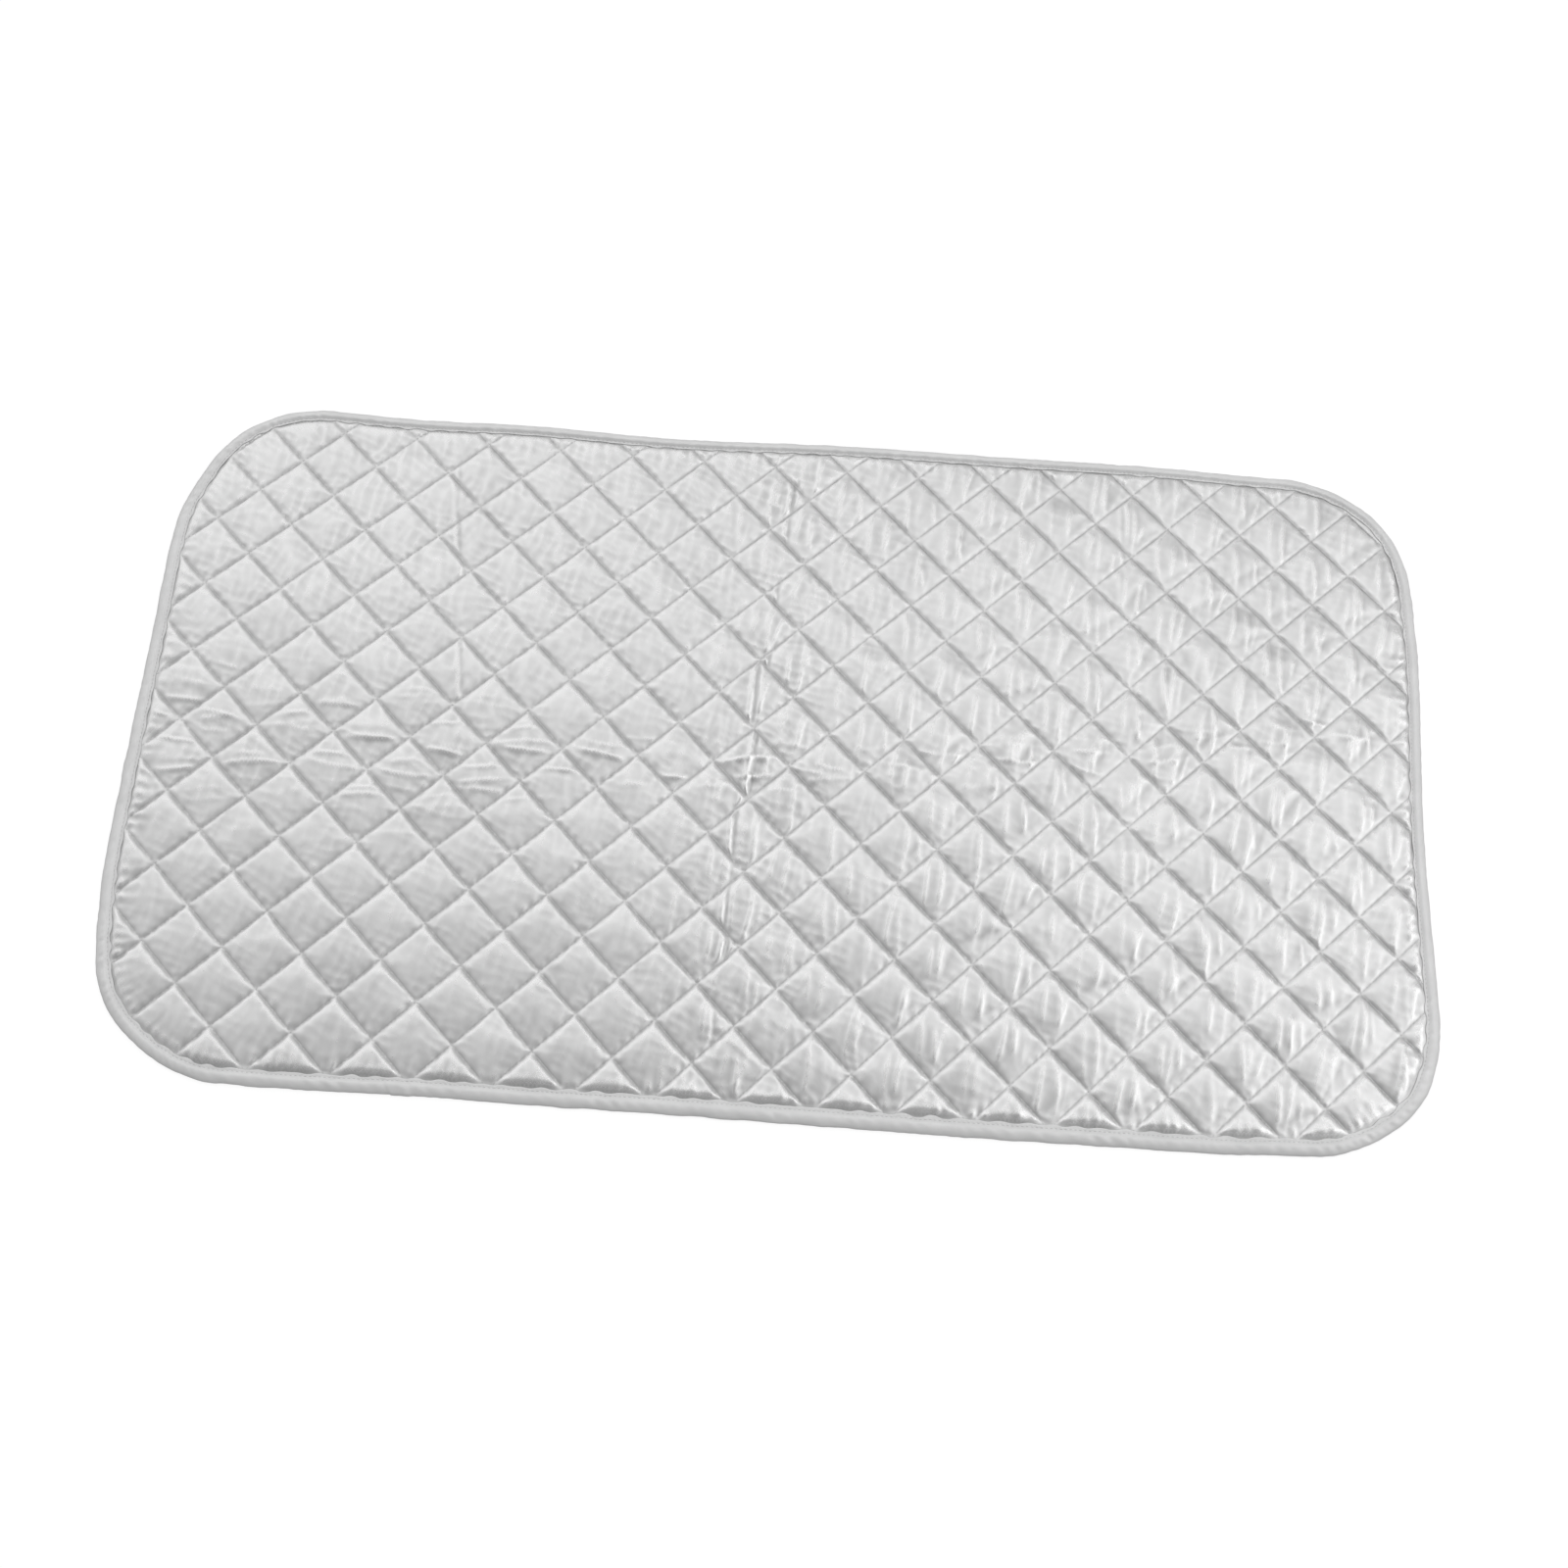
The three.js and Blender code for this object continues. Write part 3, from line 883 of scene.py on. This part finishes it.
print("the tape stands up to %.2f mm high" % tape_height.max())

# %% Lay the tape out flat, for its finish
TAPE_ROWS = 8
lengths = np.linalg.norm(profile - np.roll(profile, -1, 0), axis=1)
spread_out = np.concatenate([[0], np.cumsum(lengths)]) / lengths.sum()


def tape_map(corners):
    """The tape laid out flat, in rows, as a map for its finish."""
    first_station, first_spoke = np.divmod(np.arange(len(corners) // 4), around)
    steps = np.array([(0, 0), (0, 1), (1, 1), (1, 0)])
    along = (first_station[:, None] + steps[None, :, 0]) / tape_stations * TAPE_ROWS
    row = np.floor(first_station / tape_stations * TAPE_ROWS)[:, None]
    across = spread_out[first_spoke[:, None] + steps[None, :, 1]]
    u = 0.01 + 0.98 * (along - row)
    v = (row + 0.04 + 0.92 * across) / TAPE_ROWS
    return np.stack([u, v], -1).reshape(-1, 2)


binding = new_piece(
    "binding_tape", tape_points.reshape(-1, 3), tape_faces.tolist(), tape_map
)
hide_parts("edge_binding")
print("binding:", len(tape_faces), "faces")

# %% [markdown]
# ## Magnets
# The four magnets are plain sintered discs with a small ground chamfer. They lie
# between the wadding and the back, and hold the pad to a washing machine's lid.

# %% Turn the magnets
MAGNET_PROFILE = [(8.5, 0.7), (8.95, 1.1), (8.95, 2.3), (8.5, 2.7)]
AROUND_MAGNET = 64
for node, (middle_x, middle_y) in MAGNETS.items():
    points = [(middle_x, middle_y, MAGNET_PROFILE[end][1]) for end in (0, -1)]
    for radius, height in MAGNET_PROFILE:
        for k in range(AROUND_MAGNET):
            angle = 2 * math.pi * k / AROUND_MAGNET
            x, y = radius * math.cos(angle), radius * math.sin(angle)
            points.append((middle_x + x, middle_y + y, height))
    polygons, rings = [], [2 + k * AROUND_MAGNET for k in range(len(MAGNET_PROFILE))]
    for k in range(AROUND_MAGNET):
        after = (k + 1) % AROUND_MAGNET
        polygons.append((0, rings[0] + after, rings[0] + k))
        for low, high in zip(rings, rings[1:]):
            polygons.append((low + k, low + after, high + after, high + k))
        polygons.append((1, rings[-1] + k, rings[-1] + after))
    disc = new_piece(node.replace("magnet_", "ferrite_disc_"), points, polygons)
    disc.data.set_sharp_from_angle(angle=math.radians(30))
    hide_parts(node)
print(len(MAGNETS), "magnets")

# %% [markdown]
# ## Adding nodes
# Finishes and stitches are both made of nodes. One small function adds a node,
# gives it its settings, and links or fills its inputs. Where an input is given a
# whole node, its first output is linked. Colours are written as they look on
# screen, and turned into the linear values that Blender computes with.

# %% A helper for nodes and one for colours
def add(tree, kind, inputs=None, **settings):
    """A new node with its settings made and its inputs filled or linked."""
    node = tree.nodes.new(kind)
    for key, value in settings.items():
        setattr(node, key, value)
    for key, value in (inputs or {}).items():
        if isinstance(value, bpy.types.Node):
            value = value.outputs[0]
        if isinstance(value, bpy.types.NodeSocket):
            tree.links.new(value, node.inputs[key])
        else:
            node.inputs[key].default_value = value
    return node


def colour(code):
    """A screen colour such as "C8CACC" as a linear one."""
    parts = [int(code[k:k + 2], 16) / 255 for k in (0, 2, 4)]
    linear = [
        p / 12.92 if p <= 0.04045 else ((p + 0.055) / 1.055) ** 2.4 for p in parts
    ]
    return (*linear, 1.0)


print("a mid grey is", [round(v, 3) for v in colour("808080")[:3]])

# %% [markdown]
# ## Patterns of cloth
# A pattern that belongs to a piece reads the piece's own coordinates, so that it
# stays on the piece when that moves. Two crossing sine waves make a plain weave.
# The creases' painted shade is read from the numbers that were stored with the cloths.

# %% Start a finish, weave it and end it
def finish(name):
    """A new, empty material and its nodes."""
    material = bpy.data.materials.new(name)
    material.use_nodes = True
    material.node_tree.nodes.clear()
    return material, material.node_tree


def weave(tree, place, pitch, turned=0.0):
    """A plain weave as heights from -1 to 1, its threads that far apart in mm."""
    scale = 2 * math.pi / (pitch * MM)
    turn = add(tree, "ShaderNodeMapping", {
        "Vector": place, "Rotation": (0, 0, turned), "Scale": (scale, scale, scale),
    })
    axes = add(tree, "ShaderNodeSeparateXYZ", {0: turn})
    warp = add(tree, "ShaderNodeMath", {0: axes.outputs[0]}, operation="SINE")
    weft = add(tree, "ShaderNodeMath", {0: axes.outputs[1]}, operation="SINE")
    return add(tree, "ShaderNodeMath", {0: warp, 1: weft}, operation="MULTIPLY")


def woven_relief(tree, place, pitch, share, fluff, detail, turned=0.0):
    """A weave with some uneven fluff on it, so many specks of it to the mm."""
    uneven = add(tree, "ShaderNodeTexNoise", {
        "Vector": place, "Scale": fluff / MM, "Detail": detail,
    })
    threads = weave(tree, place, pitch, turned)
    return add(tree, "ShaderNodeMath", {
        0: threads, 1: share, 2: uneven,
    }, operation="MULTIPLY_ADD")


def crease_shade_and_dullness(tree, place, creases, clouds):
    """How dull and how dark a cloth is: painted shade and dullness in its creases, and
    clouds some 50 mm wide.
    """
    crease_shade = add(tree, "ShaderNodeAttribute", attribute_name="crease_shade").outputs["Fac"]
    cloudy = add(tree, "ShaderNodeTexNoise", {
        "Vector": place, "Scale": 1 / (50 * MM), "Detail": 3.0,
    })
    cloudy = add(tree, "ShaderNodeMath", {0: cloudy, 1: clouds}, operation="MULTIPLY")
    return add(tree, "ShaderNodeMath", {
        0: crease_shade, 1: creases, 2: cloudy,
    }, operation="MULTIPLY_ADD")


def shaded(tree, share, tones, roughness, relief, depth, inputs):
    """Ends a finish: a share picks between two tones and adds to the roughness."""
    tone = add(tree, "ShaderNodeMix", {
        0: share, 6: colour(tones[0]), 7: colour(tones[1]),
    }, data_type="RGBA").outputs[2]
    least, more = roughness
    if more:
        least = add(tree, "ShaderNodeMath", {
            0: share, 1: more, 2: least,
        }, operation="MULTIPLY_ADD")
    bump = add(tree, "ShaderNodeBump", {
        "Height": relief, "Strength": 1.0, "Distance": depth * MM,
    })
    surface = add(tree, "ShaderNodeBsdfPrincipled", {
        "Base Color": tone, "Roughness": least, "Normal": bump, **inputs,
    })
    add(tree, "ShaderNodeOutputMaterial", {"Surface": surface})


print("threads 0.6 mm apart make", round(10 / 0.6), "to the centimetre")

# %% [markdown]
# ## Finishes
# The face is a plain-woven cloth with a thin coat of aluminium, so it shines
# softly and shows every fold. The back has the same cloth with less shine, and
# the tape is the finest and most matt of the three. Inside, the wadding is felted
# fibre and the magnets are a fired ceramic. Each finish is named for its stuff.

# %% The face's aluminised cloth
# A coat of aluminium on woven cloth: a soft metal shine that follows every fold, duller
# in the creases and darker there by painted shade. Its threads are too fine to see here.
foil, tree = finish("aluminised_cloth_silver")
place = add(tree, "ShaderNodeTexCoord").outputs["Object"]
relief = woven_relief(tree, place, 0.6, 0.5, 1.1, 3.0)
shaded(
    tree, crease_shade_and_dullness(tree, place, 0.5, 0.4), tones=("DBDBDB", "A8A8A8"),
    roughness=(0.28, 0.12), relief=relief, depth=0.03, inputs={"Metallic": 0.9},
)
face_cloth.data.materials.append(foil)
print("face:", foil.name)

# %% The back's duller cloth
# The same cloth with a thinner coat, rubbed by the table: it hardly mirrors, and is
# darker by its seams as painted shade
back_finish, tree = finish("aluminised_cloth_dull")
place = add(tree, "ShaderNodeTexCoord").outputs["Object"]
relief = woven_relief(tree, place, 0.6, 0.6, 1.1, 3.0)
shaded(
    tree, crease_shade_and_dullness(tree, place, 0.4, 0.5), tones=("C3C3C3", "989898"),
    roughness=(0.5, 0.1), relief=relief, depth=0.035, inputs={"Metallic": 0.75},
)
back_cloth.data.materials.append(back_finish)
print("back:", back_finish.name)

# %% The tape's fine weave
# Finer threads, 0.45 mm apart and on the slant, as the tape is cut on the bias.
# It is bright but nearly matt, with the faint sheen of cloth at its fold.
tape_finish, tree = finish("woven_tape_silver")
place = add(tree, "ShaderNodeTexCoord").outputs["Object"]
uneven = add(tree, "ShaderNodeTexNoise", {
    "Vector": place, "Scale": 1 / (20 * MM), "Detail": 4.0,
})
relief = woven_relief(tree, place, 0.45, 0.7, 1.5, 2.0, turned=math.pi / 4)
shaded(
    tree, uneven, tones=("E6E6E6", "D6D6D6"), roughness=(0.46, 0.1),
    relief=relief, depth=0.03, inputs={"Metallic": 0.3, "Sheen Weight": 0.15},
)
binding.data.materials.append(tape_finish)
print("tape:", tape_finish.name)

# %% The threads, the wadding and the magnets
# Spun polyester: matt, its grey darkened as painted shade of the seam grooves it lies in,
# and darker specks, 4 to the mm, painted as the shade between its twisted strands
thread_shade_finish, tree = finish("polyester_thread_shaded_grey")
place = add(tree, "ShaderNodeTexCoord").outputs["Object"]
twist_and_shade = add(tree, "ShaderNodeTexNoise", {"Vector": place, "Scale": 4 / MM})
shaded(
    tree, twist_and_shade, tones=("C4C4C4", "A2A2A2"), roughness=(0.5, 0),
    relief=twist_and_shade, depth=0.03, inputs={"Sheen Weight": 0.3},
)

# Needled polyester wadding: white and quite matt, with fibres every 0.4 mm
wool, tree = finish("needled_wadding_white")
place = add(tree, "ShaderNodeTexCoord").outputs["Object"]
fibres = add(tree, "ShaderNodeTexNoise", {
    "Vector": place, "Scale": 1 / (0.4 * MM), "Detail": 6.0, "Roughness": 0.7,
})
shaded(
    tree, fibres, tones=("F0EFEC", "D6D5D1"), roughness=(0.95, 0),
    relief=fibres, depth=0.2, inputs={"Sheen Weight": 0.4},
)
wadding.data.materials.append(wool)

# Sintered ferrite: dark grey, half matt, pitted by grains of a third of a mm
ferrite, tree = finish("sintered_ferrite_grey")
place = add(tree, "ShaderNodeTexCoord").outputs["Object"]
pitted = add(tree, "ShaderNodeTexNoise", {
    "Vector": place, "Scale": 3 / MM, "Detail": 5.0, "Roughness": 0.6,
})
shaded(
    tree, pitted, tones=("464646", "2D2D2D"), roughness=(0.45, 0.2),
    relief=pitted, depth=0.02, inputs={"Metallic": 0.2},
)
for node in MAGNETS:
    disc = bpy.data.objects[node.replace("magnet_", "ferrite_disc_")]
    disc.data.materials.append(ferrite)
print(len(bpy.data.materials), "materials")

# %% [markdown]
# ## Stitches
# A lock stitch shows as a row of short thread bridges, one to every 3 mm, with the
# needle holes between them. Geometry Nodes sets one small rounded bridge after
# another along each seam. The needle thread lies on the face, and the bobbin
# thread on the back.

# %% Nodes that set the stitches
# The thread's width in mm, and a bridge's length against its spacing
THREAD_WIDTH, SHORTEST, LONGEST = 0.3, 0.68, 0.84
stitching = bpy.data.node_groups.new("stitching", "GeometryNodeTree")
for label, way, kind in (
    ("Seams", "INPUT", "Geometry"), ("Stitch length", "INPUT", "Float"),
    ("Thread width", "INPUT", "Float"), ("Stitches", "OUTPUT", "Geometry"),
):
    stitching.interface.new_socket(label, in_out=way, socket_type="NodeSocket" + kind)
given = add(stitching, "NodeGroupInput").outputs
seams = add(stitching, "GeometryNodeMeshToCurve", {"Mesh": given["Seams"]})
spots = add(stitching, "GeometryNodeCurveToPoints", {
    "Curve": seams, "Length": given["Stitch length"],
}, mode="LENGTH")
turned = add(stitching, "FunctionNodeAlignRotationToVector", {
    "Vector": spots.outputs["Tangent"],
}, axis="X")
varied = add(stitching, "FunctionNodeRandomValue", {
    2: SHORTEST, 3: LONGEST, "Seed": 5,
}, data_type="FLOAT")
long = add(stitching, "ShaderNodeMath", {
    0: given["Stitch length"], 1: varied.outputs[1],
}, operation="MULTIPLY")
size = add(stitching, "ShaderNodeCombineXYZ", {
    0: long, 1: given["Thread width"], 2: given["Thread width"],
})
bridge = add(stitching, "GeometryNodeMeshUVSphere", {
    "Segments": 5, "Rings": 3, "Radius": 0.5,
})
placed = add(stitching, "GeometryNodeInstanceOnPoints", {
    "Points": spots, "Instance": bridge, "Rotation": turned, "Scale": size,
})
solid = add(stitching, "GeometryNodeRealizeInstances", {0: placed})
smooth = add(stitching, "GeometryNodeSetShadeSmooth", {0: solid})
dressed = add(stitching, "GeometryNodeSetMaterial", {
    "Geometry": smooth, "Material": thread_shade_finish,
})
add(stitching, "NodeGroupOutput", {0: dressed})
print("stitching:", len(stitching.nodes), "nodes")

# %% Sew the seams
def sew(name, rows):
    """Stitches along rows of points, as one piece."""
    points, sides = [], []
    for row in rows:
        sides += [(len(points) + k, len(points) + k + 1) for k in range(len(row) - 1)]
        points += (row * MM).tolist()
    lines = bpy.data.meshes.new(name)
    lines.from_pydata(points, sides, [])
    guide = in_scene("guide", lines)
    nodes = guide.modifiers.new("stitching", "NODES")
    nodes.node_group = stitching
    wanted = {"Stitch length": STITCH * MM, "Thread width": THREAD_WIDTH * MM}
    for item in stitching.interface.items_tree:
        if item.name in wanted:
            nodes[item.identifier] = wanted[item.name]
    made = guide.evaluated_get(bpy.context.evaluated_depsgraph_get())
    mesh = bpy.data.meshes.new_from_object(made)
    bpy.data.objects.remove(guide)
    mesh.name = name
    piece = in_scene(name, mesh)
    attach(piece, "root")
    print(name, len(rows), "rows,", len(mesh.polygons), "faces")


def seam_rows(grid, height, lift, rising):
    """The points of every seam of one set, just off the cloth."""
    rows = []
    for k in range(0, grid.count, grid.per_cell):
        line = (slice(None), k) if rising else (k, slice(None))
        within = grid.tucked[line] > TAPE_REACH + 0.4
        if within.sum() > 3:
            row = np.stack([grid.x[line], grid.y[line], height[line] + lift], 1)
            rows.append(row[within])
    return rows


for side, grid, height, lift in (
    ("needle", fine, top, 0.06), ("bobbin", back_grid, under, -0.08),
):
    sew("thread_%s_falling" % side, seam_rows(grid, height, lift, False))
    sew("thread_%s_rising" % side, seam_rows(grid, height, lift, True))
tape_grooves = np.flatnonzero(profile[:, 0] == TAPE_SEAM)
for side, spoke, lift in zip(("needle", "bobbin"), tape_grooves, (0.06, 0.02)):
    sew("thread_tape_%s" % side, [tape_points[:, spoke] + (0, 0, lift)])

# %% [markdown]
# ## Light
# The photograph is lit softly from the right, the back and above. The pad shines,
# so it also shows the room, which is lighter along the walls to its left and
# right and darkest on the camera's side. The camera sees the ground as white with
# the pad's faint shadow; everything else sees a plain light grey one.

# %% Set the lights
# Square soft lights that look at the pad: way and height in degrees, size in m,
# power in watts
LIGHTS = {
    "light_right": (-6, 38, 1.4, 5.6), "light_top_right": (38, 62, 1.3, 4.0),
    "light_top_back": (112, 62, 1.6, 2.8), "light_back_left": (132, 38, 2.2, 2.6),
}
LIGHTS_AWAY = 2.2
for name, (way, height, size, watts) in LIGHTS.items():
    light = bpy.data.lights.new(name, "AREA")
    light.shape, light.size, light.energy = "SQUARE", size, watts
    away = towards(way, height)
    turned = away.to_track_quat("Z", "Y").to_matrix().to_4x4()
    in_scene(name, light).matrix_world = Matrix.Translation(away * LIGHTS_AWAY) @ turned

print(len(LIGHTS), "lights")

# %% The room that the pad mirrors
world = bpy.data.worlds.new("studio")
bpy.context.scene.world = world
world.use_nodes = True
tree = world.node_tree
tree.nodes.clear()
direction = add(tree, "ShaderNodeTexCoord").outputs["Generated"]
to_sides = add(tree, "ShaderNodeVectorMath", {
    0: direction, 1: (-0.9, 0.44, 0),
}, operation="DOT_PRODUCT").outputs["Value"]
left_and_right = add(tree, "ShaderNodeMath", {0: to_sides}, operation="ABSOLUTE")
to_back = add(tree, "ShaderNodeVectorMath", {
    0: direction, 1: (0, 1, 0),
}, operation="DOT_PRODUCT").outputs["Value"]
lighter_back = add(tree, "ShaderNodeMath", {
    0: to_back, 1: 0.25, 2: 0.44,
}, operation="MULTIPLY_ADD")
walls = add(tree, "ShaderNodeMath", {
    0: left_and_right, 1: 0.5, 2: lighter_back,
}, operation="MULTIPLY_ADD")
white = colour("FFFFFF")
room = add(tree, "ShaderNodeBackground", {"Color": white, "Strength": walls})
backdrop = add(tree, "ShaderNodeBackground", {"Color": white, "Strength": 1.0})
seen = add(tree, "ShaderNodeLightPath").outputs["Is Camera Ray"]
either = add(tree, "ShaderNodeMixShader", {0: seen, 1: room, 2: backdrop})
add(tree, "ShaderNodeOutputWorld", {"Surface": either})
print("room:", len(tree.nodes), "nodes")

# %% The ground
# White matt paper, which the camera sees a little brighter than it is. It lies
# a hair under the pad.
GROUND_REACH, GROUND_LEVEL = 4.0, -2e-5
ground_finish, tree = finish("studio_paper_white")
seen = add(tree, "ShaderNodeLightPath").outputs["Is Camera Ray"]
tone = add(tree, "ShaderNodeMix", {
    0: seen, 6: colour("B0B0B0"), 7: white,
}, data_type="RGBA").outputs[2]
paper = add(tree, "ShaderNodeBsdfDiffuse", {"Color": tone})
glow = add(tree, "ShaderNodeEmission", {"Color": white, "Strength": 1.08})
share = add(tree, "ShaderNodeMath", {0: seen, 1: 0.8}, operation="MULTIPLY")
either = add(tree, "ShaderNodeMixShader", {0: share, 1: paper, 2: glow})
add(tree, "ShaderNodeOutputMaterial", {"Surface": either})
ground_mesh = bpy.data.meshes.new("ground")
ground_mesh.from_pydata([
    (x * GROUND_REACH, y * GROUND_REACH, GROUND_LEVEL)
    for x, y in ((-1, -1), (1, -1), (1, 1), (-1, 1))
], [], [(0, 1, 2, 3)])
ground = in_scene("ground", ground_mesh)
ground_mesh.materials.append(ground_finish)
bpy.context.scene.view_settings.view_transform = "Standard"
print("ground", 2 * GROUND_REACH, "m wide")
